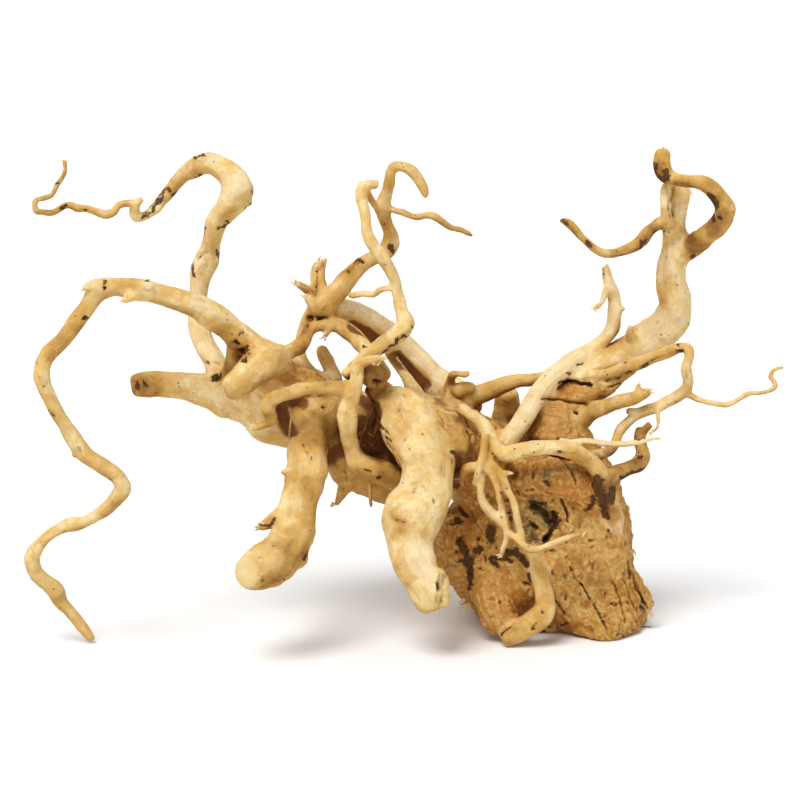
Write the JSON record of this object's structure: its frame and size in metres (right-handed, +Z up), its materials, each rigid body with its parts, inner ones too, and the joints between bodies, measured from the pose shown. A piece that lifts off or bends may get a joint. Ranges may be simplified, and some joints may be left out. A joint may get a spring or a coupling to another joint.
{
  "type": "spiderwood root",
  "caption": "Branching, sand-washed wood root with a rough stump, forked limbs and thin curling tendrils that stands on its flat underside.",
  "frame": {"origin": "on the ground, in the middle of the stump's flat underside", "axes": "+Z up, +X to the right along the spread of the branches, -Y towards the front view"},
  "size_m": [0.4929, 0.2144, 0.3204],
  "materials": {
    "root_wood": "dry, matte, sand-washed wood with ochre and dark brown stains"
  },
  "bodies": {
    "root": {"spiderwood_root": "root_wood"}
  },
  "joints": []
}
